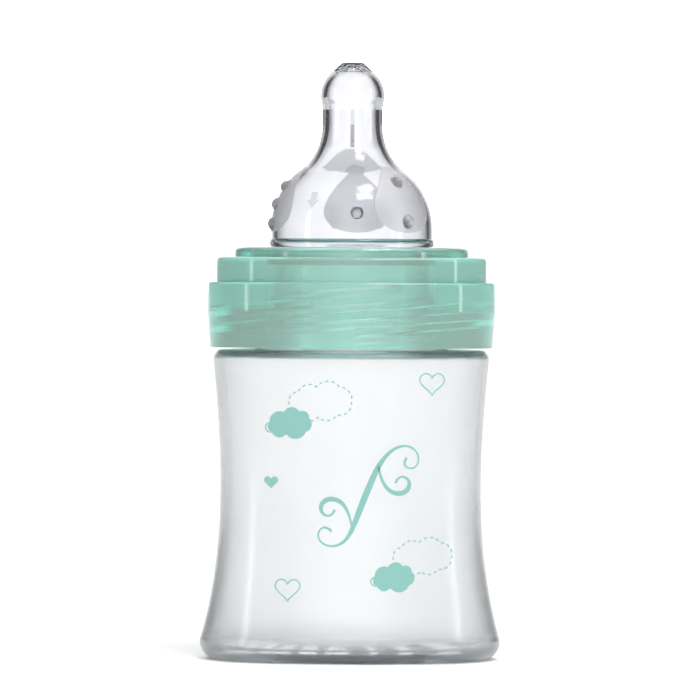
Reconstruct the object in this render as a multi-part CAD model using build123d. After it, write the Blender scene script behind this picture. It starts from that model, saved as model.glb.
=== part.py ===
from build123d import *
import os
from math import acos, atan2, cos, degrees, radians, sin

# Wide-neck baby bottle: a soft-triangular waisted bottle, a three-step screw ring and a teat.
# Frame: Z up along the neck axis, origin on the base, one flat face of the body towards -Y.
# All sizes in millimetres. Angles about Z are measured from -Y towards +X.

# ---- Neck and its thread: these set the size of everything around them ----
NECK_BORE_RADIUS = 21.0
NECK_WALL = 1.5
THREAD_DEPTH = 1.7            # height of the outside thread above the neck
THREAD_STARTS = 3             # one start per face, so the ring's corners line up when it is tight
THREAD_LEAD = 11.0            # rise in one whole turn
THREAD_CREST_WIDTH = 0.9       # neck thread; the ring's follows from the groove left
THREAD_ROOT_WIDTH = 1.9
THREAD_TURN = 1.075           # turns that each start runs
THREAD_AZIMUTH = 2.0          # where the first start begins
THREAD_EMBED = 0.4            # how far a thread's foot goes into its wall
NECK_THREAD_RISE = 2.4        # from the shoulder to the middle of a start
RING_THREAD_DEPTH = 1.4
RING_THREAD_TURN = 0.6
THREAD_PLAY = 0.85            # room along the axis for the ring's thread in its groove
THREAD_FLANK_GAP = 0.3        # under the neck thread, when the ring is tight
THREAD_CLEARANCE = 0.35       # neck thread to ring bore, on the radius

# ---- Soft triangle: three round corners joined by three bulged faces ----
CORNER_REACH = 14.5           # axis to each corner's centre
FACE_BULGE = 2.0              # how far a face stands out past flat

# ---- Screw ring ----
SKIRT_WALL = 5.15             # at the middle of a face
SKIRT_HEIGHT = 15.0
SKIRT_TAPER = 0.65            # the skirt's foot is smaller by this, on the radius
SKIRT_TAPER_HEIGHT = 8.5
MIDDLE_STEP = 1.9             # middle step's set-back from the skirt
MIDDLE_HEIGHT = 5.7
TOP_STEP = 0.7                # round top step's set-back from the middle step's faces
TOP_HEIGHT = 2.3
TOP_PLATE = 2.2               # thickness over the teat's flange
RING_HOLE_RADIUS = 18.45
TOP_EDGE_ROUND = 1.2
MIDDLE_EDGE_ROUND = 0.8
SKIRT_EDGE_ROUND = 0.6
SKIRT_LEAD_IN = 0.6           # chamfer inside the skirt's foot
RING_TO_SHOULDER = 0.6        # gap left under the tight ring

# ---- Bottle body ----
SHOULDER_HEIGHT = 71.05
RING_OVERHANG = 1.15          # the ring stands out past the shoulder by this
SHOULDER_FLARE = 1.95         # shoulder over waist, on the radius
FOOT_FLARE = 5.95             # foot over waist, on the radius
WAIST_HEIGHT = 41.0
SHOULDER_CURVE = 1.7          # power of the curve above the waist
FOOT_CURVE = 2.25             # power of the curve below the waist
BODY_WALL = 1.6
FLOOR_THICKNESS = 1.8
FOOT_EDGE_ROUND = 4.0
SHOULDER_EDGE_ROUND = 1.9
BASE_RECESS = 0.8             # ring-shaped hollow under the base, round a central pad
BASE_RECESS_INNER = 9.0
BASE_RECESS_OUTER = 23.0

# ---- Teat ----
TEAT_WALL = 1.3
FLANGE_THICKNESS = 1.8
FLANGE_GAP = 0.3              # flange edge to ring bore
CLAMP_GAP = 0.05              # flange to plate, so that the ring can turn on it
GROOVE_CLEARANCE = 0.15       # groove to ring hole, on the radius
BEAD_HEIGHT = 1.9
BEAD_PROUD = 0.6              # bead over ring hole, on the radius
BEAD_EDGE_ROUND = 0.4
DOME_PROUD = 0.15             # dome over ring hole, on the radius
DOME_START = 4.2              # top of the ring to the foot of the dome's curve
DOME_CURVE_RADIUS = 17.0
DOME_RISE = 24.0              # foot of the dome's curve to the stem
STEM_RADIUS = 6.9
STEM_HEIGHT = 3.5
NAPE_CURVE_RADIUS = 4.0       # hollow curve under the bulb
BULB_RADIUS = 7.34
BULB_TURN = 52.0              # degrees of the bulb's arc above its widest place
TIP_RADIUS = 3.35
TIP_TOP_RADIUS = 2.5
TIP_SLOPE_HEIGHT = 1.2
TIP_EDGE_HEIGHT = 0.7
FEED_HOLE_RADIUS = 0.5
VENT_RADIUS = 0.6
VENT_TO_DOME = 0.7            # wall left between the vent and the dome
VENT_AZIMUTH = -31.0
STEM_RIBS = 4                 # keep the soft stem from closing
STEM_RIB_WIDTH = 0.9
STEM_RIB_DEPTH = 0.9
BUMP_RADIUS = 1.55
BUMP_SUNK = 0.35              # a bump's centre lies this far under the dome's skin
# One, two or three bumps on each matt patch: azimuth, then each bump's angle up the dome's curve
GRIP_BUMPS = {
    176.0: (13.6,),
    43.5: (5.7, 39.0),
    -77.0: (4.0, 19.5, 35.0),
}

# ---- Places that follow from the sizes above ----
NECK_RADIUS = NECK_BORE_RADIUS + NECK_WALL
THREAD_RADIUS = NECK_RADIUS + THREAD_DEPTH
RING_BORE_RADIUS = THREAD_RADIUS + THREAD_CLEARANCE
THREAD_PITCH = THREAD_LEAD / THREAD_STARTS
THREAD_SLOPE = (THREAD_ROOT_WIDTH - THREAD_CREST_WIDTH) / THREAD_DEPTH
RING_THREAD_WIDTH = THREAD_PITCH - THREAD_CREST_WIDTH - THREAD_PLAY
RING_THREAD_ROOT = RING_THREAD_WIDTH + THREAD_SLOPE * THREAD_CLEARANCE
RING_THREAD_CREST = RING_THREAD_ROOT - THREAD_SLOPE * RING_THREAD_DEPTH

SKIRT_CORNER = RING_BORE_RADIUS + SKIRT_WALL - CORNER_REACH / 2 - FACE_BULGE
MIDDLE_CORNER = SKIRT_CORNER - MIDDLE_STEP
TOP_RADIUS = MIDDLE_CORNER + CORNER_REACH / 2 + FACE_BULGE - TOP_STEP
SHOULDER_CORNER = SKIRT_CORNER - RING_OVERHANG
WAIST_CORNER = SHOULDER_CORNER - SHOULDER_FLARE

SKIRT_BOTTOM = SHOULDER_HEIGHT + RING_TO_SHOULDER
SKIRT_TOP = SKIRT_BOTTOM + SKIRT_HEIGHT
MIDDLE_TOP = SKIRT_TOP + MIDDLE_HEIGHT
RING_TOP = MIDDLE_TOP + TOP_HEIGHT
FLANGE_TOP = RING_TOP - TOP_PLATE - CLAMP_GAP
RIM_HEIGHT = FLANGE_TOP - FLANGE_THICKNESS
NECK_THREAD_START = SHOULDER_HEIGHT + NECK_THREAD_RISE
# In the groove over the first start, lifted in it until only the flank gap is left
RING_THREAD_START = NECK_THREAD_START + THREAD_PITCH / 2 + THREAD_PLAY / 2 - THREAD_FLANK_GAP

FLANGE_RADIUS = RING_BORE_RADIUS - FLANGE_GAP
GROOVE_RADIUS = RING_HOLE_RADIUS - GROOVE_CLEARANCE
BEAD_BOTTOM = RING_TOP + CLAMP_GAP
BEAD_RADIUS = RING_HOLE_RADIUS + BEAD_PROUD
DOME_RADIUS = RING_HOLE_RADIUS + DOME_PROUD
DOME_FOOT = RING_TOP + DOME_START
VENT_FROM_AXIS = DOME_RADIUS + VENT_TO_DOME + VENT_RADIUS
DOME_TURN = 2 * atan2(DOME_RADIUS - STEM_RADIUS, DOME_RISE)
FLANK_CURVE_RADIUS = DOME_RISE / sin(DOME_TURN) - DOME_CURVE_RADIUS
STEM_FOOT = DOME_FOOT + DOME_RISE

ON_BOTTOM = (Align.CENTER, Align.CENTER, Align.MIN)


def direction(azimuth):
    """Unit vector in plan, at an angle in degrees from -Y towards +X."""
    return Vector(sin(radians(azimuth)), -cos(radians(azimuth)), 0)


def soft_triangle(corner_radius, height):
    """Flat outline at a height: three corner arcs and three bulged faces, all tangent."""
    face_back = (CORNER_REACH**2 - (CORNER_REACH / 2 + FACE_BULGE) ** 2) / (2 * FACE_BULGE)
    face_distance = corner_radius + CORNER_REACH / 2 + FACE_BULGE
    face_radius = face_distance + face_back

    def tangent_point(face, corner):
        centre = direction(face) * -face_back
        towards = direction(corner) * CORNER_REACH - centre
        return centre + towards.normalized() * face_radius

    arcs = []
    for face in (0, 120, 240):
        corner, next_face = face + 60, face + 120
        face_start = tangent_point(face, face - 60)
        face_end = tangent_point(face, corner)
        corner_end = tangent_point(next_face, corner)
        corner_middle = direction(corner) * (CORNER_REACH + corner_radius)
        arcs.append(ThreePointArc(face_start, direction(face) * face_distance, face_end))
        arcs.append(ThreePointArc(face_end, corner_middle, corner_end))
    return Pos(0, 0, height) * make_face(arcs)


def body_corner(height):
    """Corner radius of the body's outside at a height: least at the waist."""
    if height > WAIST_HEIGHT:
        part = (height - WAIST_HEIGHT) / (SHOULDER_HEIGHT - WAIST_HEIGHT)
        return WAIST_CORNER + SHOULDER_FLARE * part**SHOULDER_CURVE
    part = (WAIST_HEIGHT - height) / WAIST_HEIGHT
    return WAIST_CORNER + FOOT_FLARE * part**FOOT_CURVE


def body_loft(wall, bottom, top):
    """Solid inside the body's outside shape, set in by a wall, between two heights."""
    steps = 6
    heights = [bottom + (top - bottom) * step / steps for step in range(steps + 1)]
    return loft([soft_triangle(body_corner(height) - wall, height) for height in heights])


def thread(root, crest, root_width, crest_width, turn, start_height):
    """Right-hand starts that stand from a wall of radius root to radius crest."""
    outward = 1 if crest > root else -1
    buried = root - outward * THREAD_EMBED
    buried_width = root_width + THREAD_SLOPE * THREAD_EMBED
    corners = [
        (buried, -buried_width / 2),
        (crest, -crest_width / 2),
        (crest, crest_width / 2),
        (buried, buried_width / 2),
    ]
    profile = Plane.XZ * make_face(Polyline(*corners, close=True))
    path = Helix(pitch=THREAD_LEAD, height=THREAD_LEAD * turn, radius=root)
    start = sweep(profile, path=path, is_frenet=True)
    place = Pos(0, 0, start_height) * Rot(0, 0, THREAD_AZIMUTH - 90)
    return [place * Rot(0, 0, 360 * index / THREAD_STARTS) * start for index in range(THREAD_STARTS)]


def make_bottle_body():
    """Hollow body with a shoulder, a threaded neck and an open mouth."""
    outside = body_loft(0, 0, SHOULDER_HEIGHT)
    rims = outside.edges().group_by(Axis.Z)
    outside = fillet(rims[0], FOOT_EDGE_ROUND)
    outside = fillet(outside.edges().group_by(Axis.Z)[-1], SHOULDER_EDGE_ROUND)
    floor = BASE_RECESS + FLOOR_THICKNESS
    inside = body_loft(BODY_WALL, floor, SHOULDER_HEIGHT - BODY_WALL)
    inside = fillet(inside.edges().group_by(Axis.Z)[0], FOOT_EDGE_ROUND - BODY_WALL)
    inside = fillet(inside.edges().group_by(Axis.Z)[-1], SHOULDER_EDGE_ROUND - BODY_WALL)

    neck_foot = SHOULDER_HEIGHT - BODY_WALL
    neck = Cylinder(NECK_RADIUS, RIM_HEIGHT - neck_foot, align=ON_BOTTOM)
    bore = Cylinder(NECK_BORE_RADIUS, RIM_HEIGHT - floor, align=ON_BOTTOM)
    body = outside + Pos(0, 0, neck_foot) * neck
    body += thread(
        NECK_RADIUS,
        THREAD_RADIUS,
        THREAD_ROOT_WIDTH,
        THREAD_CREST_WIDTH,
        THREAD_TURN,
        NECK_THREAD_START,
    )
    recess = Cylinder(BASE_RECESS_OUTER, BASE_RECESS, align=ON_BOTTOM)
    recess -= Cylinder(BASE_RECESS_INNER, BASE_RECESS, align=ON_BOTTOM)
    return body - inside - Pos(0, 0, floor) * bore - recess


def make_screw_ring():
    """Three-step ring with the teat's hole and the inside thread."""
    taper_top = SKIRT_BOTTOM + SKIRT_TAPER_HEIGHT
    foot = loft(
        [
            soft_triangle(SKIRT_CORNER - SKIRT_TAPER, SKIRT_BOTTOM),
            soft_triangle(SKIRT_CORNER, taper_top),
        ]
    )
    skirt = extrude(soft_triangle(SKIRT_CORNER, taper_top), SKIRT_TOP - taper_top)
    skirt = fillet(skirt.edges().group_by(Axis.Z)[-1], SKIRT_EDGE_ROUND)
    middle = extrude(soft_triangle(MIDDLE_CORNER, taper_top), MIDDLE_TOP - taper_top)
    middle = fillet(middle.edges().group_by(Axis.Z)[-1], MIDDLE_EDGE_ROUND)
    top = Pos(0, 0, taper_top) * Cylinder(TOP_RADIUS, RING_TOP - taper_top, align=ON_BOTTOM)
    top = fillet(top.edges().group_by(Axis.Z)[-1], TOP_EDGE_ROUND)

    ring = foot + skirt + middle + top
    bore_height = RING_TOP - TOP_PLATE - SKIRT_BOTTOM
    ring -= Pos(0, 0, SKIRT_BOTTOM) * Cylinder(RING_BORE_RADIUS, bore_height, align=ON_BOTTOM)
    ring -= Pos(0, 0, SKIRT_BOTTOM) * Cylinder(RING_HOLE_RADIUS, 2 * bore_height, align=ON_BOTTOM)
    lead_in = Cone(RING_BORE_RADIUS + SKIRT_LEAD_IN, RING_BORE_RADIUS, SKIRT_LEAD_IN, align=ON_BOTTOM)
    ring -= Pos(0, 0, SKIRT_BOTTOM) * lead_in

    ring += thread(
        RING_BORE_RADIUS,
        RING_BORE_RADIUS - RING_THREAD_DEPTH,
        RING_THREAD_ROOT,
        RING_THREAD_CREST,
        RING_THREAD_TURN,
        RING_THREAD_START,
    )
    return ring


def turned(lines):
    """Solid of revolution about Z from a closed outline of lines drawn as (radius, height)."""
    edges = [edge for line in lines for edge in line.edges()]
    return revolve(Plane.XZ * make_face(edges), Axis.Z)


def bell(inset):
    """Right half of the bell's outline in XZ, from the flange's bottom up to the bulb's top."""
    foot = (DOME_RADIUS - inset, RIM_HEIGHT)
    dome_foot = (DOME_RADIUS - inset, DOME_FOOT)
    turn = degrees(DOME_TURN)
    wall = Line(foot, dome_foot)
    dome = JernArc(dome_foot, (0, 1), DOME_CURVE_RADIUS - inset, turn)
    flank = JernArc(dome @ 1, dome % 1, FLANK_CURVE_RADIUS + inset, -turn)
    stem = Line(flank @ 1, flank @ 1 + Vector(0, STEM_HEIGHT))
    nape_and_bulb = NAPE_CURVE_RADIUS + BULB_RADIUS
    nape_turn = degrees(acos(1 - (BULB_RADIUS - STEM_RADIUS) / nape_and_bulb))
    nape = JernArc(stem @ 1, (0, 1), NAPE_CURVE_RADIUS + inset, -nape_turn)
    top_turn = BULB_TURN if inset == 0 else 90
    bulb = JernArc(nape @ 1, nape % 1, BULB_RADIUS - inset, nape_turn + top_turn)
    return [wall, dome, flank, stem, nape, bulb]


def make_teat():
    """Soft teat: flange, groove and bead, bell, stem and bulb, with ribs, bumps and holes."""
    bell_edges = bell(0)
    bulb_end = bell_edges[-1] @ 1
    tip_corner = (TIP_RADIUS, bulb_end.Y + TIP_SLOPE_HEIGHT)
    tip_edge = (TIP_TOP_RADIUS, bulb_end.Y + TIP_SLOPE_HEIGHT + TIP_EDGE_HEIGHT)
    tip = Polyline(bulb_end, tip_corner, tip_edge, (0, tip_edge[1]))
    closing = Polyline((0, tip_edge[1]), (0, RIM_HEIGHT), (DOME_RADIUS, RIM_HEIGHT))
    outside = turned([*bell_edges, tip, closing])

    bead_top = (DOME_RADIUS, BEAD_BOTTOM + BEAD_HEIGHT)
    bead_low = (BEAD_RADIUS - BEAD_EDGE_ROUND, BEAD_BOTTOM)
    bead_side = (BEAD_RADIUS, BEAD_BOTTOM + BEAD_HEIGHT / 2)
    collar = Polyline(
        bead_top,
        (0, BEAD_BOTTOM + BEAD_HEIGHT),
        (0, RIM_HEIGHT),
        (FLANGE_RADIUS, RIM_HEIGHT),
        (FLANGE_RADIUS, FLANGE_TOP),
        (GROOVE_RADIUS, FLANGE_TOP),
        (GROOVE_RADIUS, BEAD_BOTTOM),
        bead_low,
    )
    bead = ThreePointArc(bead_low, bead_side, bead_top)
    seat = turned([collar, bead])

    # The groove is cut into the bell's wall too, where the ring's plate sits.
    groove = Cylinder(FLANGE_RADIUS, BEAD_BOTTOM - FLANGE_TOP, align=ON_BOTTOM)
    groove -= Cylinder(GROOVE_RADIUS, BEAD_BOTTOM - FLANGE_TOP, align=ON_BOTTOM)
    outside = outside + seat - Pos(0, 0, FLANGE_TOP) * groove

    for azimuth, rises in GRIP_BUMPS.items():
        for rise in rises:
            reach = DOME_CURVE_RADIUS - BUMP_SUNK
            from_axis = DOME_RADIUS - DOME_CURVE_RADIUS + reach * cos(radians(rise))
            place = direction(azimuth) * from_axis
            height = DOME_FOOT + reach * sin(radians(rise))
            outside += Pos(place.X, place.Y, height) * Sphere(BUMP_RADIUS)

    cavity_edges = bell(TEAT_WALL)
    cavity_top = cavity_edges[-1] @ 1
    cavity_foot = Vector(DOME_RADIUS - TEAT_WALL, RIM_HEIGHT)
    cavity_closing = Polyline(cavity_top, (0, RIM_HEIGHT), cavity_foot)
    cavity = turned([*cavity_edges, cavity_closing])
    rib_height = STEM_HEIGHT + FLANK_CURVE_RADIUS * sin(DOME_TURN) / 2
    rib_reach = STEM_RADIUS - TEAT_WALL
    for index in range(STEM_RIBS):
        rib = Box(STEM_RIB_WIDTH, STEM_RIB_DEPTH * 2, rib_height)
        place = Pos(0, -rib_reach, STEM_FOOT + STEM_HEIGHT - rib_height / 2)
        cavity -= Rot(0, 0, 360 * index / STEM_RIBS) * place * rib

    teat = outside - cavity
    feed_hole = Cylinder(FEED_HOLE_RADIUS, 4 * TEAT_WALL, align=ON_BOTTOM)
    teat -= Pos(0, 0, cavity_top.Y - TEAT_WALL) * feed_hole
    vent_place = direction(VENT_AZIMUTH) * VENT_FROM_AXIS
    vent = Cylinder(VENT_RADIUS, 2 * FLANGE_THICKNESS)
    return teat - Pos(vent_place.X, vent_place.Y, RIM_HEIGHT + FLANGE_THICKNESS / 2) * vent


NODES = {
    "bottle_body": make_bottle_body,
    "screw_ring": make_screw_ring,
    "teat": make_teat,
}

os.makedirs("parts", exist_ok=True)
for node_name, make in NODES.items():
    shape = make()
    export_step(shape, f"parts/{node_name}.step")
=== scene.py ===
"""Baby bottle: finishes, teat patches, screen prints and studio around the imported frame."""
import logging
import math
from dataclasses import dataclass
from enum import Enum
from typing import Any, Sequence

import bpy
from mathutils import Matrix, Vector


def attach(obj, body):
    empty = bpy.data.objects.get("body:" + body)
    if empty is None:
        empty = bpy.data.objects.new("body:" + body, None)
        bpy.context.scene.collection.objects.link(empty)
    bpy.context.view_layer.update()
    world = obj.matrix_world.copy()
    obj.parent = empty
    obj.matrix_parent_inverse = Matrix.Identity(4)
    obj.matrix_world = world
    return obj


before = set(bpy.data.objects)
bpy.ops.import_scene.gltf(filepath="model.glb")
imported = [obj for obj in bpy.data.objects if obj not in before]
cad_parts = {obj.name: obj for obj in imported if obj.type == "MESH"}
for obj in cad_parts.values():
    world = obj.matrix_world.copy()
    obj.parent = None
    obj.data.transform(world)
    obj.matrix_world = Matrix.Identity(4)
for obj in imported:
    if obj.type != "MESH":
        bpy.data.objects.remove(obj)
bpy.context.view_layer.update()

MM = 0.001
IN_FRONT = -0.06  # where flat artwork stands before it is laid on a skin, clear of the bottle
SAME_POINT = 0.0001 * MM  # corners of flat artwork closer than this are one corner
SMOOTH_BELOW = math.radians(35)  # edges that turn less than this are shaded smooth

log = logging.getLogger("bottle")

Colour = tuple[float, float, float, float]
Point = tuple[float, float]


class Body(Enum):
    """The frame's bodies that pieces ride on."""

    BOTTLE = "bottle"
    TEAT = "teat"


class Node(Enum):
    """The frame's nodes."""

    BOTTLE_BODY = "bottle_body"
    SCREW_RING = "screw_ring"
    TEAT = "teat"


# ---- Nodes and colours ----


def linear(hex_colour: str) -> Colour:
    """Turn an sRGB hex colour into the linear colour that a socket takes.

    Args:
        hex_colour: six hex digits after a hash.

    Returns:
        Linear red, green and blue, and an alpha of one.
    """
    digits = hex_colour.lstrip("#")
    channels = [int(digits[place : place + 2], 16) / 255 for place in (0, 2, 4)]
    bent = [c / 12.92 if c <= 0.04045 else ((c + 0.055) / 1.055) ** 2.4 for c in channels]
    return (bent[0], bent[1], bent[2], 1.0)


def add_node(
    tree: bpy.types.NodeTree,
    kind: str,
    settings: dict[str, Any] | None = None,
    inputs: dict[str | int, Any] | None = None,
) -> bpy.types.Node:
    """Add a node with its settings, socket values and links.

    Args:
        tree: the node tree that gets the node.
        kind: the node's class name.
        settings: properties set on the node itself.
        inputs: socket name or number to a value, or to an output socket to link from.

    Returns:
        The new node.
    """
    node = tree.nodes.new(kind)
    for name, value in (settings or {}).items():
        setattr(node, name, value)
    for name, value in (inputs or {}).items():
        if isinstance(value, bpy.types.NodeSocket):
            tree.links.new(value, node.inputs[name])
        else:
            node.inputs[name].default_value = value
    return node


def new_material(name: str) -> tuple[bpy.types.Material, bpy.types.NodeTree]:
    """Start a material with no nodes.

    Args:
        name: the material's name.

    Returns:
        The material and its empty tree.
    """
    material = bpy.data.materials.new(name)
    material.use_nodes = True
    material.node_tree.nodes.clear()
    return material, material.node_tree


# ---- Finishes ----


@dataclass(frozen=True)
class ClearMoulding:
    """What the translucent mouldings share: a skin with a slow ripple, and a tint with depth."""

    name: str
    skin: str
    tint: str
    ior: float
    roughness: float
    clearness: float
    density_per_m: float
    ripple_mm: float
    ripple_depth_mm: float
    patchiness: float = 0.15
    patch_mm: float = 9.0

    def height(self, tree: bpy.types.NodeTree, place: bpy.types.NodeSocket) -> bpy.types.NodeSocket:
        """Return the height of the skin, from 0 to 1.

        Args:
            tree: the material's tree.
            place: Object coordinates.

        Returns:
            The socket that carries the height.
        """
        ripple = add_node(
            tree,
            "ShaderNodeTexNoise",
            inputs={"Vector": place, "Scale": 1 / (self.ripple_mm * MM), "Detail": 1.5},
        )
        return ripple.outputs["Fac"]

    def build(self) -> bpy.types.Material:
        """Return the finished material."""
        material, tree = new_material(self.name)
        place = add_node(tree, "ShaderNodeTexCoord").outputs["Object"]
        patches = add_node(
            tree,
            "ShaderNodeTexNoise",
            inputs={"Vector": place, "Scale": 1 / (self.patch_mm * MM), "Detail": 3.0},
        )
        gloss = add_node(
            tree,
            "ShaderNodeMapRange",
            inputs={
                "Value": patches.outputs["Fac"],
                "From Min": 0.3,
                "From Max": 0.7,
                "To Min": self.roughness * (1 - self.patchiness),
                "To Max": self.roughness * (1 + self.patchiness),
            },
        )
        bump = add_node(
            tree,
            "ShaderNodeBump",
            inputs={
                "Height": self.height(tree, place),
                "Strength": 1.0,
                "Distance": self.ripple_depth_mm * MM,
            },
        )
        shader = add_node(
            tree,
            "ShaderNodeBsdfPrincipled",
            inputs={
                "Base Color": linear(self.skin),
                "Roughness": gloss.outputs[0],
                "IOR": self.ior,
                "Transmission Weight": self.clearness,
                "Normal": bump.outputs[0],
            },
        )
        depth = add_node(
            tree,
            "ShaderNodeVolumeAbsorption",
            inputs={"Color": linear(self.tint), "Density": self.density_per_m},
        )
        inputs = {"Surface": shader.outputs[0], "Volume": depth.outputs[0]}
        add_node(tree, "ShaderNodeOutputMaterial", inputs=inputs)
        return material


@dataclass(frozen=True)
class NaturalPolypropylene(ClearMoulding):
    """Uncoloured polypropylene, blow moulded.

    Its crystals scatter light, so the wall is milky, and a blown skin has a soft orange peel
    that blurs what is reflected in it. Seen edge on, the wall is a cool grey.
    """

    name: str = "natural_blow_moulded_polypropylene"
    skin: str = "#fbfcfc"
    tint: str = "#9fb3c4"
    ior: float = 1.49
    roughness: float = 0.2
    clearness: float = 0.92
    density_per_m: float = 42.0
    ripple_mm: float = 4.0
    ripple_depth_mm: float = 0.008
    patchiness: float = 0.08


@dataclass(frozen=True)
class MintPolypropylene(ClearMoulding):
    """Mint green polypropylene, injection moulded in a polished tool.

    Light goes a few millimetres in, so thick corners are a deeper green than the thin
    faces, and the thread inside shows as soft lines.
    """

    name: str = "mint_injection_moulded_polypropylene"
    skin: str = "#e4fff5"
    tint: str = "#08e2d8"
    ior: float = 1.49
    roughness: float = 0.12
    clearness: float = 0.78
    density_per_m: float = 84.0
    ripple_mm: float = 6.0
    ripple_depth_mm: float = 0.004


@dataclass(frozen=True)
class LiquidSilicone(ClearMoulding):
    """Clear liquid silicone rubber, moulded against polished steel.

    Glassy and nearly colourless face on and grey where the wall is seen edge on. The cut
    face of the tip is puckered.
    """

    name: str = "clear_liquid_silicone_rubber"
    skin: str = "#fbfbfd"
    tint: str = "#8d9098"
    ior: float = 1.41
    roughness: float = 0.04
    clearness: float = 1.0
    density_per_m: float = 235.0
    ripple_mm: float = 7.0
    ripple_depth_mm: float = 0.02
    pucker_mm: float = 1.1
    pucker_foot_mm: float = 135.2
    pucker_fade_mm: float = 0.5
    pucker_strength: float = 12.0

    def height(self, tree: bpy.types.NodeTree, place: bpy.types.NodeSocket) -> bpy.types.NodeSocket:
        """Return the height of the ripple, with the puckers of the tip added above its foot."""
        ripple = super().height(tree, place)
        level = add_node(tree, "ShaderNodeSeparateXYZ", inputs={"Vector": place}).outputs["Z"]
        on_tip = add_node(
            tree,
            "ShaderNodeMapRange",
            inputs={
                "Value": level,
                "From Min": self.pucker_foot_mm * MM,
                "From Max": (self.pucker_foot_mm + self.pucker_fade_mm) * MM,
            },
        )
        pucker = add_node(
            tree,
            "ShaderNodeTexVoronoi",
            inputs={"Vector": place, "Scale": 1 / (self.pucker_mm * MM)},
        )
        deep = add_node(
            tree,
            "ShaderNodeMath",
            {"operation": "MULTIPLY"},
            {0: pucker.outputs["Distance"], 1: on_tip.outputs[0]},
        )
        total = add_node(
            tree,
            "ShaderNodeMath",
            {"operation": "MULTIPLY_ADD"},
            {0: deep.outputs[0], 1: self.pucker_strength, 2: ripple},
        )
        return total.outputs[0]


@dataclass(frozen=True)
class MattSilicone(ClearMoulding):
    """The same silicone moulded against spark-eroded steel.

    The eroded grain is too fine to see, but it scatters light, so the patches are frosted
    and a light grey. The grain is drawn several times its real size.
    """

    name: str = "matt_liquid_silicone_rubber"
    skin: str = "#fafafc"
    tint: str = "#8d9098"
    ior: float = 1.41
    roughness: float = 0.32
    clearness: float = 0.86
    density_per_m: float = 95.0
    ripple_mm: float = 0.35
    ripple_depth_mm: float = 0.012


@dataclass(frozen=True)
class ScreenInk:
    """Screen-printed ink, cured matt: a flat mint with the mesh's faint mottle."""

    name: str = "screen_printed_ink"
    thin: str = "#86bbb3"
    full: str = "#7cb2aa"
    mottle_mm: float = 0.6
    mottle_depth_mm: float = 0.005
    roughness: float = 0.5

    def build(self) -> bpy.types.Material:
        """Return the finished material."""
        material, tree = new_material(self.name)
        place = add_node(tree, "ShaderNodeTexCoord").outputs["Object"]
        mottle = add_node(
            tree,
            "ShaderNodeTexNoise",
            inputs={"Vector": place, "Scale": 1 / (self.mottle_mm * MM), "Detail": 3.0},
        )
        colour = add_node(
            tree,
            "ShaderNodeMix",
            {"data_type": "RGBA"},
            {"Factor": mottle.outputs["Fac"], 6: linear(self.thin), 7: linear(self.full)},
        )
        bump = add_node(
            tree,
            "ShaderNodeBump",
            inputs={
                "Height": mottle.outputs["Fac"],
                "Strength": 0.5,
                "Distance": self.mottle_depth_mm * MM,
            },
        )
        shader = add_node(
            tree,
            "ShaderNodeBsdfPrincipled",
            inputs={
                "Base Color": colour.outputs[2],
                "Roughness": self.roughness,
                "Normal": bump.outputs[0],
            },
        )
        add_node(tree, "ShaderNodeOutputMaterial", inputs={"Surface": shader.outputs[0]})
        return material


# ---- Outlines, in millimetres on the flat ----


def arc(start: Point, end: Point, bulge: float, steps: int = 14) -> list[Point]:
    """Follow the arc from one point to another.

    Args:
        start: first point.
        end: last point, which is left out.
        bulge: how far the arc stands out to the left, as a part of the chord.
        steps: how many points to give.

    Returns:
        The points, from start on.
    """
    chord = Vector((end[0] - start[0], end[1] - start[1]))
    rise = bulge * chord.length
    radius = (chord.length**2 / 4 + rise**2) / (2 * rise)
    left = Vector((-chord.y, chord.x)).normalized()
    centre = Vector(start) + chord / 2 + left * (rise - radius)
    first = math.atan2(start[1] - centre.y, start[0] - centre.x)
    turn = -4 * math.atan(2 * bulge) / steps
    return [
        (
            centre.x + radius * math.cos(first + turn * step),
            centre.y + radius * math.sin(first + turn * step),
        )
        for step in range(steps)
    ]


def lobes(cusps: Sequence[Point], bulge: float, closed: bool) -> list[Point]:
    """Join cusps by outward arcs, as a cloud's edge is drawn.

    Args:
        cusps: the points between the lobes, clockwise.
        bulge: how far each lobe stands out, as a part of its chord.
        closed: whether the last cusp joins the first.

    Returns:
        The edge's points.
    """
    ends = list(cusps[1:]) + ([cusps[0]] if closed else [])
    points = [point for start, end in zip(cusps, ends) for point in arc(start, end, bulge)]
    return points if closed else points + [cusps[-1]]


def half_heart(width: float, steps: int = 60) -> list[Point]:
    """Draw the right half of a heart round the origin.

    Args:
        width: across the whole heart's two lobes.
        steps: how many stretches to give.

    Returns:
        The edge's points, from the notch down to the tip.
    """
    turns = [math.pi * step / steps for step in range(steps + 1)]
    size = width / 32
    return [
        (
            size * 16 * math.sin(turn) ** 3,
            size * (
                13 * math.cos(turn)
                - 5 * math.cos(2 * turn)
                - 2 * math.cos(3 * turn)
                - math.cos(4 * turn)
                + 2.5
            ),
        )
        for turn in turns
    ]


def heart(width: float) -> list[Point]:
    """Return the edge of a whole heart round the origin, clockwise from its notch."""
    right = even(half_heart(width), width / 20)
    return right + [(-x, y) for x, y in reversed(right[1:])]


def pear(width: float, height: float, steps: int = 64) -> list[Point]:
    """Draw a pear, wide at its foot, that stands on the origin.

    Args:
        width: at the widest place.
        height: from foot to top.
        steps: how many points to give.

    Returns:
        The edge's points.
    """
    wide, narrow = 0.655 * width, 0.245 * width
    points = []
    for step in range(steps):
        turn = 2 * math.pi * step / steps
        up = (1 - math.cos(turn)) / 2
        points.append((math.sin(turn) * (wide + (narrow - wide) * up), height * up))
    return points


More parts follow.
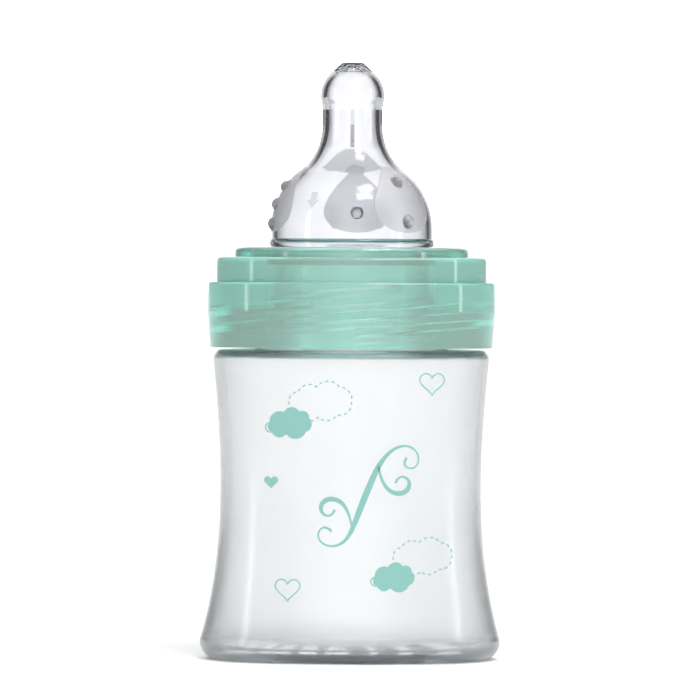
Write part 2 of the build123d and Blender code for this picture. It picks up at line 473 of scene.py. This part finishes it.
def even(points: Sequence[Point], step: float) -> list[Point]:
    """Space points evenly along a line.

    Args:
        points: the line's corners.
        step: the distance between the new points.

    Returns:
        The new points.
    """
    spaced, owed = [tuple(points[0])], step
    for start, end in zip(points, points[1:]):
        run = Vector(end) - Vector(start)
        gone = 0.0
        while run.length - gone >= owed:
            gone += owed
            owed = step
            spaced.append(tuple(Vector(start) + run * (gone / run.length)))
        owed -= run.length - gone
    return spaced


def moved(points: Sequence[Point], shift: Point, size: float = 1.0) -> list[Point]:
    """Return the points scaled about the origin and then shifted."""
    return [(x * size + shift[0], y * size + shift[1]) for x, y in points]


@dataclass(frozen=True)
class PenLine:
    """A line drawn with a broad pen, in millimetres."""

    points: Sequence[Point]
    widths: Sequence[float]
    closed: bool = False
    smooth: bool = False


def plain_line(points: Sequence[Point], width: float, closed: bool = False) -> PenLine:
    """Return a line of one width through the points."""
    return PenLine(points, [width] * len(points), closed)


def dashes(points: Sequence[Point], width: float, dash: float, gap: float) -> list[PenLine]:
    """Break a line into dashes.

    Args:
        points: the whole line.
        width: the pen's width.
        dash: length of a dash.
        gap: length of a gap.

    Returns:
        One line for each dash.
    """
    pieces = 3
    step = dash / pieces
    spaced = even(points, step)
    stride = round((dash + gap) / step)
    starts = range(0, len(spaced) - pieces, stride)
    return [plain_line(spaced[start : start + pieces + 1], width) for start in starts]


# ---- Modelling ----


def only(piece: bpy.types.Object) -> None:
    """Make a piece the only one selected, and the active one."""
    bpy.ops.object.select_all(action="DESELECT")
    piece.select_set(True)
    bpy.context.view_layer.objects.active = piece


def finish_modifier(piece: bpy.types.Object, kind: str, settings: dict[str, Any]) -> None:
    """Give a piece a modifier and apply it.

    Args:
        piece: the piece.
        kind: the modifier's type.
        settings: its properties.
    """
    only(piece)
    modifier = piece.modifiers.new(kind.lower(), kind)
    for name, value in settings.items():
        setattr(modifier, name, value)
    bpy.ops.object.modifier_apply(modifier=modifier.name)


def face_front(piece: bpy.types.Object) -> None:
    """Merge a flat piece's doubled corners and turn its faces towards the front."""
    only(piece)
    bpy.ops.object.mode_set(mode="EDIT")
    bpy.ops.mesh.select_all(action="SELECT")
    bpy.ops.mesh.remove_doubles(threshold=SAME_POINT)
    bpy.ops.object.mode_set(mode="OBJECT")
    facing = sum(face.normal.y * face.area for face in piece.data.polygons)
    if facing > 0:
        bpy.ops.object.mode_set(mode="EDIT")
        bpy.ops.mesh.select_all(action="SELECT")
        bpy.ops.mesh.flip_normals()
        bpy.ops.object.mode_set(mode="OBJECT")


def flat_curve(name: str, lines: Sequence[PenLine]) -> bpy.types.Object:
    """Draw lines on the flat, standing upright in front of the bottle.

    Args:
        name: the object's name.
        lines: the lines, in millimetres across and up.

    Returns:
        The curve object.
    """
    bpy.ops.object.select_all(action="DESELECT")
    bpy.ops.curve.primitive_nurbs_path_add()
    piece = bpy.context.object
    piece.name = name
    curve = piece.data
    curve.splines.clear()
    curve.dimensions = "2D"
    curve.fill_mode = "NONE"
    curve.resolution_u = 10
    for line in lines:
        spline = curve.splines.new("NURBS" if line.smooth else "POLY")
        spline.points.add(len(line.points) - 1)
        for point, (x, y), width in zip(spline.points, line.points, line.widths):
            point.co = (x * MM, y * MM, 0.0, 1.0)
            point.radius = width
        spline.use_cyclic_u = line.closed
        if line.smooth:
            spline.order_u = 4
            spline.use_endpoint_u = True
    piece.location = (0.0, IN_FRONT, 0.0)
    piece.rotation_euler = (math.radians(90), 0.0, 0.0)
    return piece


def to_mesh(piece: bpy.types.Object) -> None:
    """Turn a curve object into a mesh with its place applied."""
    only(piece)
    bpy.ops.object.convert(target="MESH")
    bpy.ops.object.transform_apply(location=True, rotation=True, scale=True)


def pen_strokes(name: str, lines: Sequence[PenLine]) -> bpy.types.Object:
    """Draw pen lines as flat ribbons.

    Args:
        name: the piece's name.
        lines: the lines, whose widths are the ribbons' widths.

    Returns:
        One flat mesh in front of the bottle.
    """
    bpy.ops.object.select_all(action="DESELECT")
    bpy.ops.curve.primitive_nurbs_path_add()
    nib = bpy.context.object
    nib.data.splines.clear()
    edge = nib.data.splines.new("POLY")
    edge.points.add(1)
    edge.points[0].co = (-0.5 * MM, 0.0, 0.0, 1.0)
    edge.points[1].co = (0.5 * MM, 0.0, 0.0, 1.0)
    piece = flat_curve(name, lines)
    piece.data.bevel_mode = "OBJECT"
    piece.data.bevel_object = nib
    to_mesh(piece)
    bpy.data.objects.remove(nib)
    face_front(piece)
    return piece


def lay_on(piece: bpy.types.Object, node: Node, azimuth: float, lift: float, thickness: float) -> None:
    """Project a flat piece onto a node's skin, and give it its thickness.

    Args:
        piece: a flat mesh in front of the bottle.
        node: the node whose skin it lies on.
        azimuth: degrees from the front towards the right.
        lift: millimetres left between the skin and the piece.
        thickness: in millimetres.
    """
    piece.rotation_euler = (0.0, 0.0, math.radians(azimuth))
    wrap = {
        "target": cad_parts[node.value],
        "wrap_method": "PROJECT",
        "use_project_y": True,
        "use_positive_direction": True,
        "use_negative_direction": False,
        "wrap_mode": "ABOVE_SURFACE",
        "offset": lift * MM,
    }
    finish_modifier(piece, "SHRINKWRAP", wrap)
    finish_modifier(piece, "SOLIDIFY", {"thickness": thickness * MM, "offset": 1.0})


def filled(
    name: str,
    outline: Sequence[Point],
    node: Node,
    azimuth: float,
    cell: float,
    lift: float,
    thickness: float,
) -> bpy.types.Object:
    """Make a thin filled shape that lies on a node's skin.

    A grid is laid on the skin and cut to the outline, as a stencil is.

    Args:
        name: the piece's name.
        outline: the shape, in millimetres across and up.
        node: the node whose skin it lies on.
        azimuth: degrees from the front towards the right.
        cell: the grid's spacing, in millimetres.
        lift: millimetres left between the skin and the shape.
        thickness: in millimetres.

    Returns:
        The finished mesh.
    """
    low = [min(point[side] for point in outline) - cell for side in (0, 1)]
    high = [max(point[side] for point in outline) + cell for side in (0, 1)]
    size = [high[side] - low[side] for side in (0, 1)]
    bpy.ops.object.select_all(action="DESELECT")
    bpy.ops.mesh.primitive_grid_add(
        x_subdivisions=round(size[0] / cell),
        y_subdivisions=round(size[1] / cell),
        size=MM,
        location=((low[0] + high[0]) / 2 * MM, IN_FRONT, (low[1] + high[1]) / 2 * MM),
        rotation=(math.radians(90), 0.0, 0.0),
    )
    layer = bpy.context.object
    layer.name = name
    layer.scale = (size[0], size[1], 1.0)
    bpy.ops.object.transform_apply(location=True, rotation=True, scale=True)
    face_front(layer)
    lay_on(layer, node, azimuth, lift, thickness)

    stencil = flat_curve("stencil", [plain_line(outline, 1.0, closed=True)])
    stencil.data.fill_mode = "BOTH"
    stencil.data.extrude = -IN_FRONT - MM
    to_mesh(stencil)
    only(stencil)
    bpy.ops.object.mode_set(mode="EDIT")
    bpy.ops.mesh.select_all(action="SELECT")
    bpy.ops.mesh.remove_doubles(threshold=SAME_POINT)
    bpy.ops.mesh.normals_make_consistent(inside=False)
    bpy.ops.object.mode_set(mode="OBJECT")
    stencil.rotation_euler = (0.0, 0.0, math.radians(azimuth))
    cut = {"operation": "INTERSECT", "solver": "EXACT", "object": stencil}
    finish_modifier(layer, "BOOLEAN", cut)
    bpy.data.objects.remove(stencil)
    return layer


def hand_over(piece: bpy.types.Object, body: Body, material: bpy.types.Material) -> None:
    """Apply a piece's place, dress it and let it ride.

    Args:
        piece: the piece.
        body: the body that it rides on.
        material: its finish.
    """
    only(piece)
    bpy.ops.object.transform_apply(location=True, rotation=True, scale=True)
    bpy.ops.object.shade_smooth_by_angle(angle=SMOOTH_BELOW)
    piece.data.materials.clear()
    piece.data.materials.append(material)
    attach(piece, body.value)
    log.info("%s: %d faces, %s", piece.name, len(piece.data.polygons), material.name)


def dress_node(node: Node, material: bpy.types.Material) -> None:
    """Give a frame node its finish.

    Args:
        node: the node.
        material: the finish that takes the place of the plain one.
    """
    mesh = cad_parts[node.value].data
    mesh.materials.clear()
    mesh.materials.append(material)
    log.info("%s: %s", node.value, material.name)


# ---- Sub-assemblies ----


@dataclass
class TeatFinish:
    """The teat's silicone, its matt patches and the arrow that shows which way is down."""

    patch_azimuths: tuple[float, ...] = (43.5, 176.0, -77.0)
    patch_width: float = 16.6
    patch_height: float = 15.2
    patch_foot: float = 98.0
    patch_cell: float = 0.35
    skin_gap: float = 0.02
    patch_thickness: float = 0.1
    arrow_azimuth: float = -31.0
    arrow_height: float = 3.7
    arrow_width: float = 3.1
    arrow_shaft: float = 1.4
    arrow_tip: float = 103.6

    def build(self) -> None:
        """Dress the teat and add its patches and arrow."""
        dress_node(Node.TEAT, LiquidSilicone().build())
        matt = MattSilicone().build()
        outline = moved(pear(self.patch_width, self.patch_height), (0.0, self.patch_foot))
        for number, azimuth in enumerate(self.patch_azimuths, start=1):
            patch = filled(
                f"matt_patch_{number}",
                outline,
                Node.TEAT,
                azimuth,
                self.patch_cell,
                self.skin_gap,
                self.patch_thickness,
            )
            hand_over(patch, Body.TEAT, matt)
        arrow = filled(
            "down_arrow",
            moved(self.arrow_outline(), (0.0, self.arrow_tip)),
            Node.TEAT,
            self.arrow_azimuth,
            self.patch_cell,
            self.skin_gap,
            self.patch_thickness,
        )
        hand_over(arrow, Body.TEAT, matt)

    def arrow_outline(self) -> list[Point]:
        """Return the arrow's corners, with its tip at the origin."""
        wide, slim, neck = self.arrow_width / 2, self.arrow_shaft / 2, self.arrow_height / 2
        right = [(wide, neck), (slim, neck), (slim, self.arrow_height)]
        return [(0.0, 0.0), *right, *[(-x, y) for x, y in reversed(right)]]


@dataclass
class FrontPrint:
    """The bottle's screen print: clouds, hearts and a scroll."""

    ink_gap: float = 0.01
    ink_thickness: float = 0.03
    cell: float = 0.8
    line: float = 0.3
    dash: float = 0.72
    dash_gap: float = 0.62
    heart_width: float = 5.6
    small_heart_width: float = 3.2
    lobe_bulge: float = 0.3
    far_lobe_bulge: float = 0.25
    tail_bulge: float = 0.55
    # Between the lobes of the filled cloud, clockwise from its left end
    cloud: tuple[Point, ...] = (
        (-4.6, -0.1),
        (-1.4, 2.3),
        (2.2, 2.5),
        (4.4, 1.0),
        (3.7, -2.1),
        (-0.8, -2.7),
        (-4.1, -2.2),
    )
    # Between the lobes of the dashed cloud, from where it comes out behind the filled one
    far_cloud: tuple[Point, ...] = (
        (-0.1, 4.0),
        (1.9, 7.0),
        (6.0, 8.1),
        (11.3, 8.1),
        (14.0, 4.4),
        (10.7, 1.8),
        (6.4, 1.3),
        (4.3, 0.7),
    )
    # Places on the front, across and up from the base
    cloud_places: tuple[tuple[float, float, float], ...] = ((-13.9, 54.8, 1.0), (9.9, 19.9, 0.94))
    heart_places: tuple[Point, ...] = ((18.4, 63.5), (-14.2, 16.6))
    small_heart_place: Point = (-18.1, 41.0)
    scroll_place: Point = (3.3, 38.1)

    def build(self) -> None:
        """Print every motif."""
        ink = ScreenInk().build()
        for number, (across, up, size) in enumerate(self.cloud_places, start=1):
            cloud = moved(lobes(self.cloud, self.lobe_bulge, closed=True), (across, up), size)
            self.print_fill(f"cloud_{number}", cloud, ink)
            edges = dashes(self.far_edge(across, up, size), self.line, self.dash, self.dash_gap)
            edges.append(plain_line(self.tail(across, up, size), self.line))
            self.print_lines(f"far_cloud_{number}", edges, ink)
        for number, place in enumerate(self.heart_places, start=1):
            right = even(half_heart(self.heart_width), self.dash / 3)
            left = [(-x, y) for x, y in right]
            sides = [plain_line(moved(side, place), self.line) for side in (right, left)]
            self.print_lines(f"heart_{number}", sides, ink)
        small = moved(heart(self.small_heart_width), self.small_heart_place)
        self.print_fill("small_heart", small, ink)
        self.print_lines("scroll", self.scroll(), ink)

    def print_fill(self, name: str, outline: Sequence[Point], ink: bpy.types.Material) -> None:
        """Print a filled motif.

        Args:
            name: the piece's name.
            outline: the motif's edge.
            ink: the finish.
        """
        piece = filled(name, outline, Node.BOTTLE_BODY, 0.0, self.cell, self.ink_gap, self.ink_thickness)
        hand_over(piece, Body.BOTTLE, ink)

    def print_lines(self, name: str, lines: Sequence[PenLine], ink: bpy.types.Material) -> None:
        """Print a motif of lines.

        Args:
            name: the piece's name.
            lines: the motif's lines.
            ink: the finish.
        """
        piece = pen_strokes(name, lines)
        lay_on(piece, Node.BOTTLE_BODY, 0.0, self.ink_gap, self.ink_thickness)
        hand_over(piece, Body.BOTTLE, ink)

    def far_edge(self, across: float, up: float, size: float) -> list[Point]:
        """Return the dashed cloud's edge, from one side of the filled cloud to the other."""
        return moved(lobes(self.far_cloud, self.far_lobe_bulge, closed=False), (across, up), size)

    def tail(self, across: float, up: float, size: float) -> list[Point]:
        """Return the small open lobe at the filled cloud's left end."""
        low, high = self.cloud[-1], self.cloud[0]
        return moved([*arc(low, high, self.tail_bulge), high], (across, up), size)

    def scroll(self) -> list[PenLine]:
        """Return the three pen lines of the scroll that rises across the front."""
        stem = [
            (-7.6, -8.0), (-8.9, -6.6), (-10.8, -7.6), (-10.6, -10.4), (-7.6, -11.8), (-4.2, -10.4),
            (-2.4, -6.4), (-0.9, -2.2), (1.0, 2.4), (2.8, 6.8), (5.8, 10.8), (9.6, 12.0), (12.4, 9.8),
            (12.0, 6.6), (9.6, 6.0), (8.5, 7.5), (9.4, 8.8),
        ]
        stem_widths = [
            0.6, 0.5, 0.4, 0.4, 0.45, 0.7, 1.2, 1.5, 1.5, 1.2, 0.7, 0.45, 0.4, 0.4, 0.4, 0.5, 0.6,
        ]
        left = [
            (-2.9, -7.6), (-3.6, -2.4), (-7.2, 0.2), (-10.4, -1.6), (-9.9, -4.6), (-7.4, -4.7), (-6.9, -3.0),
        ]
        branch_widths = [0.35, 0.7, 1.2, 1.1, 0.55, 0.4, 0.6]
        right = [(-x, -y) for x, y in left]
        return [
            PenLine(moved(points, self.scroll_place), widths, smooth=True)
            for points, widths in ((stem, stem_widths), (left, branch_widths), (right, branch_widths))
        ]


@dataclass(frozen=True)
class SoftBox:
    """A rectangular lamp: sizes and place in metres, power in watts."""

    name: str
    place: tuple[float, float, float]
    width: float
    height: float
    watts: float


@dataclass
class Studio:
    """White floor, bright room, soft boxes and camera."""

    distance: float = 1.5
    eye: tuple[float, float] = (-0.0003, 0.0947)
    aim_height: float = 0.0709
    view_width: float = 0.1617
    roll_degrees: float = 0.3
    sensor: float = 36.0
    floor_half: float = 12.0
    room_light: float = 1.8
    side_light: float = 0.12
    overhead_light: float = 1.4
    soft_boxes: tuple[SoftBox, ...] = (
        SoftBox("upper_key", (0.27, -0.34, 1.02), 0.36, 0.2, 2.0),
        SoftBox("lower_key", (0.27, -0.56, 0.9), 0.36, 0.2, 2.0),
        SoftBox("left_strip", (-0.85, -0.35, 0.25), 0.08, 0.5, 0.8),
        SoftBox("right_strip", (0.85, -0.25, 0.25), 0.08, 0.5, 0.8),
    )

    def build(self) -> None:
        """Make the camera, the floor, the room and the lamps."""
        self.make_camera()
        self.make_floor()
        self.make_room()
        self.make_lamps()

    def make_camera(self) -> None:
        """Add the camera in front of the bottle."""
        bpy.ops.object.camera_add(location=(self.eye[0], -self.distance, self.eye[1]))
        camera = bpy.context.object
        camera.data.sensor_width = self.sensor
        camera.data.lens = self.sensor * self.distance / self.view_width
        aim = Vector((self.eye[0], 0.0, self.aim_height)) - camera.location
        turn = aim.to_track_quat("-Z", "Y").to_matrix()
        roll = Matrix.Rotation(math.radians(self.roll_degrees), 3, "Z")
        camera.rotation_euler = (turn @ roll).to_euler()
        bpy.context.scene.camera = camera

    def make_floor(self) -> None:
        """Add the white paper floor."""
        bpy.ops.mesh.primitive_plane_add(size=2 * self.floor_half)
        floor = bpy.context.object
        floor.name = "floor"
        material, tree = new_material("white_paper")
        shader = add_node(
            tree,
            "ShaderNodeBsdfPrincipled",
            inputs={"Base Color": linear("#fdfdfd"), "Roughness": 0.9, "Specular IOR Level": 0.1},
        )
        add_node(tree, "ShaderNodeOutputMaterial", inputs={"Surface": shader.outputs[0]})
        floor.data.materials.append(material)

    def make_room(self) -> None:
        """Light the room: bright in front, behind and overhead, greyer at the two sides."""
        world = bpy.data.worlds.new("room")
        bpy.context.scene.world = world
        world.use_nodes = True
        tree = world.node_tree
        tree.nodes.clear()
        towards = add_node(tree, "ShaderNodeTexCoord").outputs["Generated"]
        parts = add_node(tree, "ShaderNodeSeparateXYZ", inputs={"Vector": towards})
        sideways = add_node(
            tree, "ShaderNodeMath", {"operation": "ABSOLUTE"}, {0: parts.outputs["X"]}
        )
        around = add_node(
            tree,
            "ShaderNodeMapRange",
            {"interpolation_type": "SMOOTHSTEP"},
            {
                "Value": sideways.outputs[0],
                "From Min": 0.1,
                "From Max": 0.55,
                "To Min": self.room_light,
                "To Max": self.side_light,
            },
        )
        level = add_node(
            tree,
            "ShaderNodeMapRange",
            {"interpolation_type": "SMOOTHSTEP"},
            {
                "Value": parts.outputs["Z"],
                "From Min": 0.45,
                "From Max": 0.8,
                "To Min": around.outputs[0],
                "To Max": self.overhead_light,
            },
        )
        light = add_node(
            tree,
            "ShaderNodeBackground",
            inputs={"Color": linear("#ffffff"), "Strength": level.outputs[0]},
        )
        add_node(tree, "ShaderNodeOutputWorld", inputs={"Surface": light.outputs[0]})

    def make_lamps(self) -> None:
        """Add the soft boxes, all aimed at the ring."""
        for box in self.soft_boxes:
            bpy.ops.object.light_add(type="AREA", location=box.place)
            lamp = bpy.context.object
            lamp.name = box.name
            lamp.data.shape = "RECTANGLE"
            lamp.data.size = box.width
            lamp.data.size_y = box.height
            lamp.data.energy = box.watts
            aim = Vector((0.0, 0.0, self.eye[1])) - Vector(box.place)
            lamp.rotation_euler = aim.to_track_quat("-Z", "Y").to_euler()


def main() -> None:
    """Build the classes in order."""
    logging.basicConfig(level=logging.INFO, format="%(name)s: %(message)s")
    bpy.ops.object.select_all(action="DESELECT")
    scene = bpy.context.scene
    scene.view_settings.view_transform = "Standard"
    scene.cycles.max_bounces = 24
    scene.cycles.transmission_bounces = 20
    scene.cycles.transparent_max_bounces = 16
    Studio().build()
    dress_node(Node.BOTTLE_BODY, NaturalPolypropylene().build())
    dress_node(Node.SCREW_RING, MintPolypropylene().build())
    TeatFinish().build()
    FrontPrint().build()


if __name__ == "__main__":
    main()
